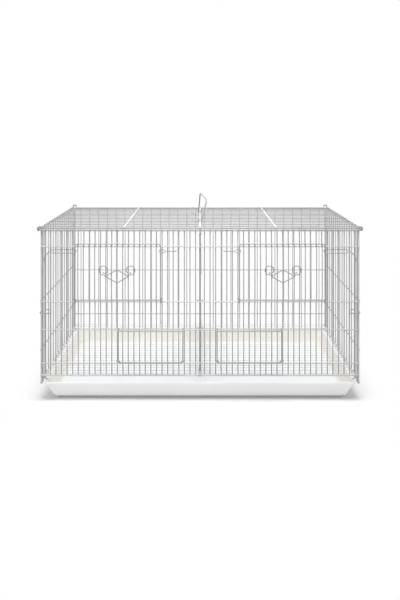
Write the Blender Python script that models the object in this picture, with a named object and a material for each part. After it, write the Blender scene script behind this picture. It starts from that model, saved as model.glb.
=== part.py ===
"""A wire bird cage with a divider, two drop-down doors, two feeder doors and a slide-out tray.

Frame: +X to the right, +Y to the back, +Z up. The origin is on the surface that the tray's feet
stand on, under the middle of the cage. Lengths are in metres.
"""

import math

import bmesh
import bpy
from mathutils import Matrix, Vector

MM = 0.001

# Size of the cage, between the axes of its corner posts
CAGE_WIDTH = 758 * MM
CAGE_DEPTH = 406 * MM
TOP_Z = 410 * MM
POST_FOOT_Z = 44 * MM

# Wire gauges, as the distance from a wire's axis to its ridge
BAR = 1.3 * MM
ROW = 1.4 * MM
RAIL = 1.8 * MM
FINE = 1.2 * MM
GAP = 0.3 * MM
WELD = 0.4 * MM
POST = BAR + GAP + WELD
OVERRUN = 2.2 * MM
FIT = 0.8 * MM

# Front panel: the heights of its cross wires, and the bars that they carry
DOOR_HEAD_Z = 371.5 * MM
DOOR_SILL_Z = 240 * MM
FEEDER_HEAD_Z = 173.4 * MM
FEEDER_SILL_Z = 93.3 * MM
FRONT_FOOT_Z = 65 * MM
BAR_PITCH = 13.35 * MM
FIRST_BAR = 10.6 * MM
WIDE_PITCH = 2 * BAR_PITCH
DOOR_FIRST_BAR = 6
DOOR_LAST_BAR = 22
FEEDER_FIRST_BAR = 2
FEEDER_LAST_BAR = 14

# Back and side panels
BACK_ROWS_Z = (224 * MM, 91 * MM)
SIDE_ROWS_Z = (240 * MM, 123 * MM)
LEDGE_Z = 57 * MM

# Doors
HAT_RISE = 7.2 * MM
RAIL_RISE = 4.6 * MM
DOOR_OUTER_INSET = BAR_PITCH / 2
FEEDER_DROP = 3.8 * MM
FEEDER_CORNER = 8 * MM
TIP = 6 * MM

# Scroll ornament, around the middle of an upper door
DIAMOND_HALF_WIDTH = 28 * MM
DIAMOND_HALF_HEIGHT = 15.6 * MM
DIAMOND_RISE = 62 * MM
SCROLL_RADIUS = 10.7 * MM
SCROLL_OUT = 32 * MM
SCROLL_RISE = 14 * MM
SCROLL_TURN = 390
SCROLL_TAPER = 0.65
SCROLL_STEPS = 18

# Latches
LATCH_DROP = 10 * MM
LATCH_EYE = FINE + GAP + FINE
LOOP_LENGTH = 11 * MM
LOOP_DEPTH = 4 * MM
LOOP_TILT = 3 * MM
LOOP_STEPS = 12
HAIRPIN = 3.7 * MM
PRONG = 14 * MM
INNER_CATCH_BAR = 3
OUTER_CATCH_BAR = 25
LEVER_OUT = 18 * MM
LEVER_FORWARD = 7 * MM
LEVER_DROP = 26 * MM

# Divider and its guides
GUIDE_DEPTH = 14 * MM
DIVIDER_FOOT_Z = 76 * MM
DIVIDER_TOP_DROP = 7 * MM
HOOK_LIFT = 9 * MM

# Top panel, hinge rods and handle
CROSS_WIRE_X = 182 * MM
TOP_BAR_TURN = 4.5 * MM
CURL = 4.5 * MM
ROD_CURL_RISE = 6.5 * MM
ROD_CURL_HALF_HEIGHT = 3.5 * MM
HANDLE_HEIGHT = 58 * MM
HANDLE_HALF_SPAN = 3.5 * WIDE_PITCH
HANDLE_CORNER = 16 * MM
HANDLE_SPREAD = 4.5 * MM
HANDLE_LEAN = math.radians(9.5)

# Corner clips
CLIP_Z = 213 * MM
CLIP_REACH = 19 * MM
CLIP_RETURN = 8 * MM

# Floor grate
GRATE_ROW_PITCH = 17 * MM
GRATE_SUPPORTS = 3
SIDE_CLEARANCE = 0.8 * MM

# Tray
TRAY_HEIGHT = 47 * MM
TRAY_FLARE = 14 * MM
TRAY_KNEE = 11 * MM
TRAY_CORNER = 10 * MM
TRAY_WALL = 2 * MM
TRAY_LIP_HEIGHT = 5 * MM
TRAY_LIP_OUT = 3 * MM
TRAY_SIDE_GAP = 4.2 * MM
FOOT_HEIGHT = 3 * MM
FOOT_RADIUS = 3.5 * MM
HOOK_INSET = 14 * MM

HALF_WIDTH = CAGE_WIDTH / 2
HALF_DEPTH = CAGE_DEPTH / 2
FRONT_Y = -HALF_DEPTH
ROW_STEP = BAR + GAP + ROW
RAIL_STEP = BAR + RAIL - WELD
FRAME_STEP = BAR + ROW - WELD
ROW_Y = FRONT_Y - ROW_STEP
RAIL_Y = FRONT_Y - RAIL_STEP
DOOR_BAR_Y = ROW_Y - ROW - GAP - BAR
DOOR_FRAME_Y = DOOR_BAR_Y - FRAME_STEP
SIDE_END_Y = HALF_DEPTH - 2 * POST - GAP
EYE = ROW + GAP + FINE

WHITE = (0.86, 0.86, 0.86, 1)
IVORY = (0.84, 0.83, 0.81, 1)
SMOOTH_ANGLE = math.radians(100)
TRAY_SMOOTH_ANGLE = math.radians(40)

X_AXIS = Vector((1, 0, 0))
Y_AXIS = Vector((0, 1, 0))
Z_AXIS = Vector((0, 0, 1))


def clear_scene():
    for obj in list(bpy.data.objects):
        bpy.data.objects.remove(obj, do_unlink=True)


def finish(name, colour, roughness, metallic=0.0):
    """A painted or moulded surface."""
    material = bpy.data.materials.new(name)
    material.use_nodes = True
    shader = material.node_tree.nodes["Principled BSDF"]
    shader.inputs["Base Color"].default_value = colour
    shader.inputs["Roughness"].default_value = roughness
    shader.inputs["Metallic"].default_value = metallic
    material.diffuse_color = colour
    return material


def piece(name, bm, material, origin=(0, 0, 0), parent=None, smooth=SMOOTH_ANGLE):
    """The object made from a mesh drawn in the cage's own frame, with its origin where asked."""
    origin = Vector(origin)
    bm.transform(Matrix.Translation(-origin))
    mesh = bpy.data.meshes.new(name)
    bm.to_mesh(mesh)
    bm.free()
    mesh.shade_smooth()
    mesh.set_sharp_from_angle(angle=smooth)
    mesh.materials.append(material)
    obj = bpy.data.objects.new(name, mesh)
    bpy.context.scene.collection.objects.link(obj)
    obj.location = origin
    if parent is not None:
        obj.parent = parent
        obj.location = origin - parent.location
    return obj


def weld_on(obj, bm, origin=(0, 0, 0)):
    """Joins the wires of a second layer to the object, where they cross its own."""
    layer = piece(obj.name + "_layer", bm, obj.data.materials[0], origin)
    layer.parent = obj
    layer.location = (0, 0, 0)
    layer.hide_render = True
    layer.display_type = "WIRE"
    union = obj.modifiers.new("Weld " + layer.name, "BOOLEAN")
    union.operation = "UNION"
    union.object = layer


def directions(points, closed):
    """The unit direction into and out of each point."""
    count = len(points)
    steps = [(points[(i + 1) % count] - points[i]).normalized() for i in range(count)]
    pairs = []
    for i in range(count):
        into = steps[i - 1] if closed or i > 0 else steps[0]
        out = steps[i] if closed or i < count - 1 else steps[-2]
        pairs.append((into, out))
    return pairs


def ring_at(point, into, out, side, radius, sides):
    """The corners of a wire's section at one point, mitred where the wire bends."""
    along = (into + out).normalized()
    other = along.cross(side)
    bend = out - into
    stretch = 0
    if bend.length > 1e-6:
        bend.normalize()
        stretch = 1 / max(0.3, along.dot(out)) - 1
    corners = []
    for k in range(sides):
        angle = 2 * math.pi * k / sides
        offset = radius * (math.cos(angle) * side + math.sin(angle) * other)
        corners.append(point + offset + stretch * offset.dot(bend) * bend)
    return corners


def wire(bm, points, radius, sides=4, closed=False, ridge=Z_AXIS):
    """A wire along the points. Its first ridge faces the ridge direction."""
    points = [Vector(p) for p in points]
    pairs = directions(points, closed)
    side = None
    before = None
    rings = []
    for point, (into, out) in zip(points, pairs):
        along = (into + out).normalized()
        if side is None:
            side = ridge - ridge.dot(along) * along
        else:
            side = before.rotation_difference(along) @ side
            side = side - side.dot(along) * along
        side = side.normalized()
        before = along
        corners = ring_at(point, into, out, side, radius, sides)
        rings.append([bm.verts.new(c) for c in corners])
    spans = len(rings) if closed else len(rings) - 1
    for i in range(spans):
        first = rings[i]
        second = rings[(i + 1) % len(rings)]
        for k in range(sides):
            nxt = (k + 1) % sides
            bm.faces.new((first[k], first[nxt], second[nxt], second[k]))
    if not closed:
        bm.faces.new(rings[0][::-1])
        bm.faces.new(rings[-1])


def upright(bm, x, y, low, high, radius):
    wire(bm, [(x, y, low), (x, y, high)], radius, ridge=Y_AXIS)


def across(bm, y, z, left, right, radius):
    wire(bm, [(left, y, z), (right, y, z)], radius)


def lengthwise(bm, x, z, front, back, radius):
    wire(bm, [(x, front, z), (x, back, z)], radius)


def arc(centre, radius, start, end, steps, first=X_AXIS, second=Z_AXIS):
    """Points round a centre, in the plane of two directions, with angles in degrees."""
    points = []
    for i in range(steps + 1):
        angle = math.radians(start + (end - start) * i / steps)
        points.append(Vector(centre) + radius * (math.cos(angle) * first + math.sin(angle) * second))
    return points


def bar_x(index):
    return FIRST_BAR + BAR_PITCH * index


def bar_count():
    """How many bars stand between the middle and a corner post."""
    return int((HALF_WIDTH - FIRST_BAR - BAR_PITCH / 3) / BAR_PITCH) + 1


def spans_of_bar(index):
    """The stretches (low, high, step forward) of a front bar, left out where a door opens."""
    at_door = DOOR_FIRST_BAR < index < DOOR_LAST_BAR
    at_feeder = FEEDER_FIRST_BAR < index < FEEDER_LAST_BAR
    foot = FRONT_FOOT_Z - OVERRUN
    head = TOP_Z + OVERRUN
    held = GAP + WELD
    spans = []
    if at_door:
        spans.append((DOOR_HEAD_Z - OVERRUN, head, 0))
    if at_feeder:
        spans.append((foot, FEEDER_SILL_Z + OVERRUN, 0))
    if at_door and at_feeder:
        spans.append((FEEDER_HEAD_Z - OVERRUN, DOOR_SILL_Z + OVERRUN, held))
    elif at_door:
        spans.append((foot, DOOR_SILL_Z + OVERRUN, 0))
    elif at_feeder:
        spans.append((FEEDER_HEAD_Z - OVERRUN, head, 0))
    else:
        spans.append((foot, head, 0))
    return spans


def guide_row(bm, z):
    """A front cross wire that bends back on each side of the divider's front edge."""
    inner = RAIL + GAP + ROW
    outer = FIRST_BAR - BAR - GAP - ROW
    back = ROW_Y + GUIDE_DEPTH
    end = HALF_WIDTH + POST
    half = [(inner, ROW_Y), (inner, back - ROW), (inner + ROW / 2, back)]
    half += [(outer - ROW / 2, back), (outer, back - ROW), (outer, ROW_Y), (end, ROW_Y)]
    points = [(-x, y, z) for x, y in reversed(half)] + [(x, y, z) for x, y in half]
    wire(bm, points, ROW)


def front_panel(material):
    end = HALF_WIDTH + POST
    bm = bmesh.new()
    across(bm, RAIL_Y, TOP_Z, -end, end, RAIL)
    across(bm, ROW_Y, DOOR_HEAD_Z, -end, end, ROW)
    guide_row(bm, DOOR_SILL_Z)
    guide_row(bm, FEEDER_HEAD_Z)
    across(bm, ROW_Y, FEEDER_SILL_Z, -end, end, ROW)
    across(bm, RAIL_Y, FRONT_FOOT_Z, -end, end, RAIL)
    panel = piece("front_panel", bm, material)
    bars = bmesh.new()
    for hand in (-1, 1):
        upright(bars, hand * HALF_WIDTH, FRONT_Y, POST_FOOT_Z, TOP_Z + OVERRUN, POST)
        for index in range(bar_count()):
            for low, high, forward in spans_of_bar(index):
                upright(bars, hand * bar_x(index), FRONT_Y - forward, low, high, BAR)
    weld_on(panel, bars)
    return panel


def wide_places(half_length, start):
    """Places at the wide pitch on both sides of the middle, short of the half length."""
    places = []
    place = start
    while place < half_length - WIDE_PITCH / 3:
        places += [place] if place == 0 else [-place, place]
        place += WIDE_PITCH
    return sorted(places)


def back_panel(material):
    end = HALF_WIDTH + POST
    bm = bmesh.new()
    for z in (TOP_Z, POST_FOOT_Z):
        across(bm, HALF_DEPTH + RAIL_STEP, z, -end, end, RAIL)
    for z in BACK_ROWS_Z:
        across(bm, HALF_DEPTH + ROW_STEP, z, -end, end, ROW)
    panel = piece("back_panel", bm, material)
    bars = bmesh.new()
    for hand in (-1, 1):
        upright(bars, hand * HALF_WIDTH, HALF_DEPTH, POST_FOOT_Z - OVERRUN, TOP_Z + OVERRUN, POST)
    for x in wide_places(HALF_WIDTH, WIDE_PITCH / 2):
        upright(bars, x, HALF_DEPTH, POST_FOOT_Z - OVERRUN, TOP_Z + OVERRUN, BAR)
    weld_on(panel, bars)
    return panel


def tray_hook(bm, hand, y):
    """A wire from the side panel's ledge that turns in over the tray's rim."""
    ledge_x = HALF_WIDTH - ROW_STEP
    rim_z = TRAY_HEIGHT + GAP + FINE
    over_x = HALF_WIDTH - TRAY_SIDE_GAP - POST - TRAY_WALL
    points = [(hand * ledge_x, y, LEDGE_Z), (hand * ledge_x, y, rim_z + 2 * FINE)]
    points += [(hand * over_x, y, rim_z), (hand * (over_x - 3 * FINE), y, rim_z)]
    wire(bm, points, FINE, ridge=X_AXIS)


def side_panel(name, hand, material):
    bm = bmesh.new()
    for z in (TOP_Z, POST_FOOT_Z):
        lengthwise(bm, hand * (HALF_WIDTH + RAIL_STEP), z, -SIDE_END_Y - POST, SIDE_END_Y + POST, RAIL)
    for z in SIDE_ROWS_Z:
        lengthwise(bm, hand * (HALF_WIDTH + ROW_STEP), z, -SIDE_END_Y - POST, SIDE_END_Y + POST, ROW)
    ledge_end = SIDE_END_Y + POST / 2
    lengthwise(bm, hand * (HALF_WIDTH - ROW_STEP), LEDGE_Z, -ledge_end, ledge_end, ROW)
    panel = piece(name, bm, material)
    bars = bmesh.new()
    low = POST_FOOT_Z - OVERRUN
    high = TOP_Z + RAIL / 2
    for y in (-SIDE_END_Y, SIDE_END_Y):
        wire(bars, [(hand * HALF_WIDTH, y, low), (hand * HALF_WIDTH, y, high)], POST, ridge=X_AXIS)
        tray_hook(bars, hand, y - math.copysign(HOOK_INSET, y))
    for y in wide_places(SIDE_END_Y - POST, 0):
        wire(bars, [(hand * HALF_WIDTH, y, low), (hand * HALF_WIDTH, y, high)], BAR, ridge=X_AXIS)
    weld_on(panel, bars)
    return panel


def top_wire_z():
    """The height of the top panel's bars, which rest on the side rails and the hinge rods."""
    return TOP_Z + RAIL + GAP + BAR


def rod_x():
    return HALF_WIDTH + RAIL_STEP + RAIL + GAP + RAIL


def cross_wire_z():
    return top_wire_z() + BAR + RAIL - WELD


def top_panel(material):
    """Bars across the cage whose ends turn down outside the hinge rods, under three long wires."""
    end_x = rod_x() + RAIL + GAP + BAR
    z = top_wire_z()
    bm = bmesh.new()
    edge_y = HALF_DEPTH - POST - BAR - GAP
    for y in wide_places(edge_y, 0) + [-edge_y, edge_y]:
        points = [(-end_x, y, z - TOP_BAR_TURN), (-end_x, y, z)]
        points += [(end_x, y, z), (end_x, y, z - TOP_BAR_TURN)]
        wire(bm, points, BAR, ridge=X_AXIS)
    panel = piece("top_panel", bm, material)
    cross = bmesh.new()
    for x in (-CROSS_WIRE_X, 0, CROSS_WIRE_X):
        lengthwise(cross, x, cross_wire_z(), -edge_y - OVERRUN, edge_y + OVERRUN, RAIL)
    weld_on(panel, cross)
    return panel


def hinge_rod(name, hand, material):
    """A rod along the cage's top edge, with both ends turned up into a flat hook over the corner."""
    x = rod_x()
    turn = 2 * RAIL
    end = HALF_DEPTH + RAIL_STEP + RAIL + GAP
    front = [Vector((hand * x, -end, TOP_Z)), Vector((hand * x, -end - turn, TOP_Z + turn))]
    for point in arc((x - CURL, 0, 0), CURL, 0, 200, 7):
        rise = ROD_CURL_RISE + point.z * ROD_CURL_HALF_HEIGHT / CURL
        front.append(Vector((hand * point.x, -end - turn, TOP_Z + rise)))
    back = [Vector((p.x, -p.y, p.z)) for p in front]
    bm = bmesh.new()
    wire(bm, front[::-1] + back, RAIL, sides=6)
    return piece(name, bm, material)


def corner_clip(name, hand, material):
    """A clip that turns on the side post and hooks round the front one, with a curled finger pull."""
    out = POST + GAP + FINE
    x = HALF_WIDTH
    y = ROW_Y - ROW - GAP - FINE
    back = -SIDE_END_Y + out
    points = [Vector((x - out, back, CLIP_Z)), Vector((x + out - FINE, back + FINE, CLIP_Z))]
    points += [Vector((x + out, back - FINE, CLIP_Z)), Vector((x + out, FRONT_Y - out / 2, CLIP_Z))]
    points += [Vector((x, y, CLIP_Z)), Vector((x - CLIP_REACH, y, CLIP_Z))]
    centre = (x - CLIP_REACH, y, CLIP_Z + CURL)
    points += arc(centre, CURL, 255, 90, 6)
    points.append(points[-1] + CLIP_RETURN * X_AXIS)
    bm = bmesh.new()
    wire(bm, [(hand * p.x, p.y, p.z) for p in points], FINE, sides=5)
    return piece(name, bm, material, (hand * x, -SIDE_END_Y, CLIP_Z))


def door_inner_x():
    return bar_x(DOOR_FIRST_BAR) + BAR + FIT + FINE


def door_outer_x():
    return bar_x(DOOR_LAST_BAR) - DOOR_OUTER_INSET


def hinge_hook(x, row_z, turn):
    """The end of a door's side wire, hooked round the front cross wire that it swings on."""
    reach = 3 * EYE
    points = [Vector((x, DOOR_FRAME_Y, row_z + turn * reach))]
    points.append(Vector((x, DOOR_FRAME_Y, row_z + turn * EYE)))
    centre = (x, ROW_Y, row_z)
    points += arc(centre, EYE, 180, 180 + turn * 240, 8, Y_AXIS, Z_AXIS)
    return points


def upper_door(name, hand, material):
    """A drop-down door: a bent frame hooked on the sill wire, with bars behind it."""
    inner = door_inner_x()
    outer = door_outer_x()
    hat_z = DOOR_HEAD_Z + HAT_RISE
    rail_z = DOOR_SILL_Z + RAIL_STEP + RAIL_RISE - RAIL
    origin = (0, ROW_Y, DOOR_SILL_Z)
    near = hinge_hook(inner, DOOR_SILL_Z, 1)
    far = hinge_hook(outer, DOOR_SILL_Z, 1)
    bend = 3 * ROW
    points = near[::-1]
    points += [Vector((inner, DOOR_FRAME_Y, hat_z - bend)), Vector((inner + bend, DOOR_FRAME_Y, hat_z))]
    points += [Vector((outer - bend, DOOR_FRAME_Y, hat_z)), Vector((outer, DOOR_FRAME_Y, hat_z - bend))]
    points += far
    bm = bmesh.new()
    wire(bm, [(hand * p.x, p.y, p.z) for p in points], FINE, ridge=Y_AXIS)
    door = piece(name, bm, material, origin)
    bars = bmesh.new()
    for index in range(DOOR_FIRST_BAR + 1, DOOR_LAST_BAR):
        x = hand * bar_x(index)
        upright(bars, x, DOOR_BAR_Y, rail_z - OVERRUN, hat_z + OVERRUN, BAR)
    weld_on(door, bars, origin)
    rail = bmesh.new()
    across(rail, DOOR_FRAME_Y, rail_z, hand * (inner - TIP / 2), hand * (outer + TIP / 2), ROW)
    weld_on(door, rail, origin)
    return door


def ornament(name, hand, door, material):
    """A diamond with a scroll rising from each side corner, on the front of a door."""
    x = hand * (bar_x(DOOR_FIRST_BAR) + bar_x(DOOR_LAST_BAR)) / 2
    y = DOOR_BAR_Y - BAR - GAP - FINE
    z = DOOR_SILL_Z + DIAMOND_RISE
    corners = [(-1, 0), (0, 1), (1, 0), (0, -1)]
    bm = bmesh.new()
    diamond = [(x + u * DIAMOND_HALF_WIDTH, y, z + v * DIAMOND_HALF_HEIGHT) for u, v in corners]
    wire(bm, diamond, FINE, closed=True, ridge=Y_AXIS)
    origin = (0, ROW_Y, DOOR_SILL_Z)
    obj = piece(name, bm, material, origin, door)
    scrolls = bmesh.new()
    for side in (-1, 1):
        centre = Vector((x + side * SCROLL_OUT, y, z + SCROLL_RISE))
        points = [Vector((x + side * (DIAMOND_HALF_WIDTH - 2 * FINE), y, z))]
        for i in range(SCROLL_STEPS + 1):
            share = i / SCROLL_STEPS
            angle = math.radians(-95 + SCROLL_TURN * share)
            radius = SCROLL_RADIUS * (1 - SCROLL_TAPER * share**6)
            points.append(centre + radius * Vector((side * math.cos(angle), 0, math.sin(angle))))
        wire(scrolls, points, FINE, ridge=Y_AXIS)
    weld_on(obj, scrolls, origin)
    return obj


def catch_x(index):
    """The middle of the space beyond a front bar, where a latch's prong reaches in."""
    return bar_x(index) + BAR_PITCH / 2


def inner_latch_path(reach):
    """A long loop round the door's side wire, an arm towards the divider and a prong between two bars."""
    near = LATCH_EYE
    half_length = (LOOP_LENGTH + near) / 2
    points = []
    for i in range(LOOP_STEPS + 1):
        angle = math.radians(-320 * (1 - i / LOOP_STEPS))
        x = half_length - near + half_length * math.cos(angle)
        points.append(Vector((x, LOOP_DEPTH * math.sin(angle), LOOP_TILT * math.sin(angle))))
    return points + [Vector((reach, 0, 0)), Vector((reach, PRONG, 0))]


def outer_latch_path(reach):
    """A hairpin round the door's side wire, with a prong on its lower leg and a thumb lever on the upper."""
    points = [Vector((reach, PRONG, -HAIRPIN)), Vector((reach, -LATCH_EYE, -HAIRPIN))]
    for i in range(LOOP_STEPS // 2 + 1):
        angle = math.radians(-90 - 180 * i / (LOOP_STEPS // 2))
        points.append(Vector((LATCH_EYE * math.cos(angle), LATCH_EYE * math.sin(angle), HAIRPIN * math.sin(angle))))
    points.append(Vector((reach, LATCH_EYE, HAIRPIN)))
    points.append(points[-1] + Vector((LEVER_OUT * 0.6, -LEVER_FORWARD, -LEVER_DROP * 0.3)))
    points.append(points[-2] + Vector((LEVER_OUT, -LEVER_FORWARD, -LEVER_DROP * 0.65)))
    points.append(points[-3] + Vector((LEVER_OUT, -LEVER_FORWARD, -LEVER_DROP)))
    return points


def latch(name, door_hand, outward, door, material):
    """A catch that turns on a door's side wire and reaches in between two bars of the front panel."""
    side_x = door_outer_x() if outward else door_inner_x()
    catch = catch_x(OUTER_CATCH_BAR if outward else INNER_CATCH_BAR)
    path = outer_latch_path(catch - side_x) if outward else inner_latch_path(side_x - catch)
    step = door_hand if outward else -door_hand
    origin = Vector((door_hand * side_x, DOOR_FRAME_Y, DOOR_HEAD_Z - LATCH_DROP))
    bm = bmesh.new()
    wire(bm, [origin + Vector((step * p.x, p.y, p.z)) for p in path], FINE, sides=6)
    return piece(name, bm, material, origin, door)


def feeder_door(name, hand, material):
    """A flap that hangs on the feeder head wire, with a rounded frame and a long pull wire."""
    inner = bar_x(FEEDER_FIRST_BAR) + BAR + FIT + FINE
    outer = bar_x(FEEDER_LAST_BAR) - BAR - FIT - FINE
    foot_z = FEEDER_SILL_Z + FEEDER_DROP
    head_rail_z = FEEDER_HEAD_Z - RAIL_STEP - RAIL_RISE + RAIL
    origin = (0, ROW_Y, FEEDER_HEAD_Z)
    y = DOOR_FRAME_Y
    near = hinge_hook(inner, FEEDER_HEAD_Z, -1)
    far = hinge_hook(outer, FEEDER_HEAD_Z, -1)
    corner = FEEDER_CORNER
    points = near[::-1]
    points += arc((inner + corner, y, foot_z + corner), corner, 180, 270, 3)
    points += arc((outer - corner, y, foot_z + corner), corner, 270, 360, 3)
    points += far
    bm = bmesh.new()
    wire(bm, [(hand * p.x, p.y, p.z) for p in points], FINE, ridge=Y_AXIS)
    door = piece(name, bm, material, origin)
    bars = bmesh.new()
    for index in range(FEEDER_FIRST_BAR + 1, FEEDER_LAST_BAR):
        x = hand * bar_x(index)
        upright(bars, x, DOOR_BAR_Y, foot_z - OVERRUN, head_rail_z + OVERRUN, BAR)
    weld_on(door, bars, origin)
    rails = bmesh.new()
    across(rails, y, head_rail_z, hand * (inner - TIP / 2), hand * (outer + TIP / 2), ROW)
    pull_y = y - FINE - ROW + WELD
    pull = [(inner - TIP, pull_y - TIP / 2, foot_z - TIP / 4), (inner - TIP / 2, pull_y, foot_z)]
    pull += [(outer + TIP / 2, pull_y, foot_z), (outer + TIP, pull_y - TIP / 2, foot_z - TIP / 4)]
    wire(rails, [(hand * p[0], p[1], p[2]) for p in pull], ROW)
    weld_on(door, rails, origin)
    return door


def wall_hook(bm, start, toward, z, held):
    """A wire from the divider's edge that hooks over a wire of the cage, held as (y, z, radius)."""
    x, edge = start
    wire_y, wire_z, radius = held
    over = wire_z + radius + GAP + FINE
    out_y = wire_y + toward * (radius + GAP + FINE)
    run = [(x, edge - toward * 4 * ROW, z), (x, edge + toward * FINE, z), (x, wire_y, over)]
    run += [(x, out_y, over - FINE), (x, out_y, wire_z - radius)]
    wire(bm, run, FINE, sides=5)


def divider_panel(material):
    """A loose wall between the two compartments, hooked over the front foot rail and a back wire."""
    front = RAIL_Y + RAIL + GAP + RAIL
    back = HALF_DEPTH - BAR - GAP - RAIL
    top = TOP_Z - DIVIDER_TOP_DROP
    bm = bmesh.new()
    side = BAR + ROW - WELD
    for z in (top - OVERRUN, DIVIDER_FOOT_Z):
        lengthwise(bm, side, z, front, back, ROW)
    for z in ((DOOR_SILL_Z + DOOR_HEAD_Z) / 2, (FEEDER_SILL_Z + FEEDER_HEAD_Z) / 2):
        lengthwise(bm, ROW_STEP, z, front - POST, back + POST, ROW)
    panel = piece("divider_panel", bm, material)
    bars = bmesh.new()
    low = DIVIDER_FOOT_Z - OVERRUN
    for y in (front, back):
        wire(bars, [(0, y, low), (0, y, top)], RAIL, ridge=X_AXIS)
    spaces = round((back - front) / WIDE_PITCH)
    for i in range(1, spaces):
        y = front + (back - front) * i / spaces
        wire(bars, [(0, y, low), (0, y, top)], BAR, ridge=X_AXIS)
    weld_on(panel, bars)
    hooks = bmesh.new()
    for x in (-side, side):
        wall_hook(hooks, (x, front), -1, DIVIDER_FOOT_Z, (RAIL_Y, FRONT_FOOT_Z, RAIL))
    wall_hook(hooks, (side, back), 1, BACK_ROWS_Z[1] + HOOK_LIFT, (HALF_DEPTH + ROW_STEP, BACK_ROWS_Z[1], ROW))
    weld_on(panel, hooks)
    return panel


def floor_grate(material):
    """Wires across the cage on a few lengthwise supports, lying on the side panels' ledges."""
    half_x = HALF_WIDTH - POST - SIDE_CLEARANCE
    row_z = LEDGE_Z + ROW + GAP + FINE
    support_z = row_z - 2 * FINE + WELD
    front = FRONT_Y + BAR + FINE
    back = HALF_DEPTH - BAR - FINE - 2 * GAP
    support_x = HALF_WIDTH - ROW_STEP - ROW - FINE - FIT
    spaces = round((back - front) / GRATE_ROW_PITCH)
    bm = bmesh.new()
    for i in range(spaces + 1):
        y = front + (back - front) * i / spaces
        across(bm, y, row_z, -half_x, half_x, FINE)
    grate = piece("floor_grate", bm, material)
    supports = bmesh.new()
    for i in range(GRATE_SUPPORTS):
        x = -support_x + 2 * support_x * i / (GRATE_SUPPORTS - 1)
        lengthwise(supports, x, support_z, front - FINE, back + FINE, FINE)
    weld_on(grate, supports)
    return grate


def rounded_ring(bm, half_x, half_y, centre_y, z, corner, steps=4):
    """The corners of a rounded rectangle at one height."""
    ring = []
    for quarter, (u, v) in enumerate(((1, 1), (-1, 1), (-1, -1), (1, -1))):
        for i in range(steps + 1):
            angle = math.radians(90 * quarter + 90 * i / steps)
            x = u * (half_x - corner) + corner * math.cos(angle)
            y = centre_y + v * (half_y - corner) + corner * math.sin(angle)
            ring.append(bm.verts.new((x, y, z)))
    return ring


def bridge(bm, first, second):
    for k in range(len(first)):
        nxt = (k + 1) % len(first)
        bm.faces.new((first[k], first[nxt], second[nxt], second[k]))


def tray(material):
    """A flared pan with a turned rim, standing on four feet."""
    rim_x = HALF_WIDTH - POST - TRAY_SIDE_GAP
    front = FRONT_Y - BAR
    back = HALF_DEPTH - POST - GAP
    centre_y = (front + back) / 2
    rim_y = (back - front) / 2
    lip_z = TRAY_HEIGHT - TRAY_LIP_HEIGHT
    flat = TRAY_FLARE
    wall = TRAY_WALL
    knee = TRAY_KNEE
    curve = [(flat + knee, 0), (flat + 0.45 * knee, 0.25 * knee), (flat, knee)]
    profile = [(inset, FOOT_HEIGHT + rise) for inset, rise in curve]
    profile += [(TRAY_LIP_OUT, lip_z), (0, lip_z), (0, TRAY_HEIGHT), (TRAY_LIP_OUT + wall, TRAY_HEIGHT)]
    profile += [(inset + wall / 2, FOOT_HEIGHT + wall + rise) for inset, rise in curve[::-1]]
    bm = bmesh.new()
    rings = []
    for inset, z in profile:
        rings.append(rounded_ring(bm, rim_x - inset, rim_y - inset, centre_y, z, TRAY_CORNER))
    for first, second in zip(rings, rings[1:]):
        bridge(bm, first, second)
    bm.faces.new(rings[0][::-1])
    bm.faces.new(rings[-1])
    pan = piece("tray", bm, material, smooth=TRAY_SMOOTH_ANGLE)
    feet = bmesh.new()
    foot_x = rim_x - flat - knee - FOOT_RADIUS
    foot_y = rim_y - flat - knee - FOOT_RADIUS
    for hand in (-1, 1):
        for end in (-1, 1):
            place = Matrix.Translation((hand * foot_x, centre_y + end * foot_y, FOOT_HEIGHT / 2 + wall / 4))
            bmesh.ops.create_cone(
                feet,
                cap_ends=True,
                segments=12,
                radius1=FOOT_RADIUS * 0.8,
                radius2=FOOT_RADIUS,
                depth=FOOT_HEIGHT + wall / 2,
                matrix=place,
            )
    weld_on(pan, feet)
    return pan


def carry_handle(material):
    """A bail on eyes round the middle long wire of the top panel, one leg on each side of that wire."""
    eye = RAIL + GAP + RAIL
    top = HANDLE_HEIGHT
    span = HANDLE_HALF_SPAN
    corner = HANDLE_CORNER
    axis_z = cross_wire_z()
    near = [Vector((p.x, -span, p.z)) for p in arc((0, 0, 0), eye, -255, 0, 8)]
    for p in arc((0, -span + corner, top - corner), corner, 180, 90, 4, Y_AXIS, Z_AXIS):
        near.append(Vector(((eye + HANDLE_SPREAD) * -p.y / span, p.y, p.z)))
    far = [Vector((-p.x, -p.y, p.z)) for p in near]
    origin = Vector((0, 0, axis_z))
    bm = bmesh.new()
    wire(bm, [origin + p for p in near + far[::-1]], RAIL, sides=6)
    handle = piece("carry_handle", bm, material, origin)
    handle.rotation_euler = (0, HANDLE_LEAN, 0)
    return handle


def build():
    clear_scene()
    paint = finish("white_powder_coat", WHITE, 0.35)
    plastic = finish("white_plastic", IVORY, 0.4)
    front_panel(paint)
    back_panel(paint)
    top_panel(paint)
    divider_panel(paint)
    floor_grate(paint)
    tray(plastic)
    carry_handle(paint)
    for side, hand in (("left", -1), ("right", 1)):
        side_panel(side + "_panel", hand, paint)
        hinge_rod(side + "_hinge_rod", hand, paint)
        corner_clip(side + "_corner_clip", hand, paint)
        feeder_door(side + "_feeder_door", hand, paint)
        door = upper_door(side + "_upper_door", hand, paint)
        ornament(side + "_door_ornament", hand, door, paint)
        latch(side + "_outer_latch", hand, True, door, paint)
        latch(side + "_inner_latch", hand, False, door, paint)


build()
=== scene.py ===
import math

import bmesh
import bpy
from mathutils import Matrix, Vector


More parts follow.
